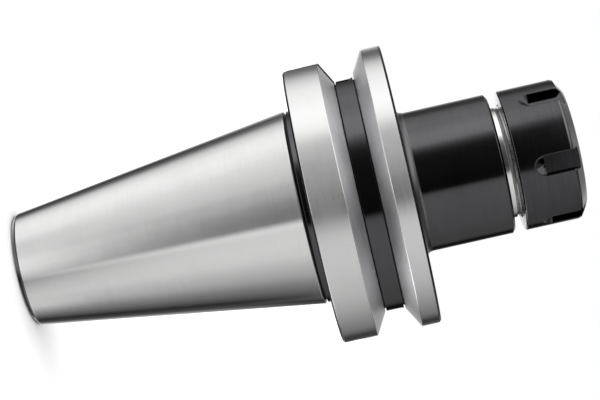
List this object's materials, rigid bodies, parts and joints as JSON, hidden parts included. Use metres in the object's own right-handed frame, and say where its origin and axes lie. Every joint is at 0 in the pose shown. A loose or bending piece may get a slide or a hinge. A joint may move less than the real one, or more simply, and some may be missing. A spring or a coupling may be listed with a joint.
{
  "type": "collet chuck holder",
  "caption": "Steel collet chuck holder with a 7:24 taper shank, a gripper flange with drive slots, a slit collet and a slotted clamping nut on a threaded nose.",
  "frame": {"origin": "on the axis at the gauge line, where the taper has its gauge diameter", "axes": "+Z along the axis from the shank towards the nut; the drive slots face +X and -X"},
  "size_m": [0.1, 0.1, 0.1981],
  "materials": {
    "body_steel": "ground steel on the taper and flange rims, black oxide elsewhere",
    "collet_steel": "fine ground spring steel",
    "nut_steel": "satin black oxide"
  },
  "bodies": {
    "chuck": {"chuck_body": "body_steel"},
    "collet": {"collet": "collet_steel"},
    "nut": {"clamping_nut": "nut_steel"}
  },
  "joints": [
    {"name": "collet_slide", "type": "slide", "parent": "chuck", "child": "collet", "axis": [0, 0, 1], "range_m": [0, 0.0105]},
    {"name": "nut_turn", "type": "hinge", "parent": "collet", "child": "nut", "pos_m": [0, 0, 0.0851], "axis": [0, 0, 1], "range_deg": [0, 2520]}
  ],
  "couplings": [
    {"joint": "collet_slide", "follows": "nut_turn", "m_per_rad": 0.00023873}
  ]
}
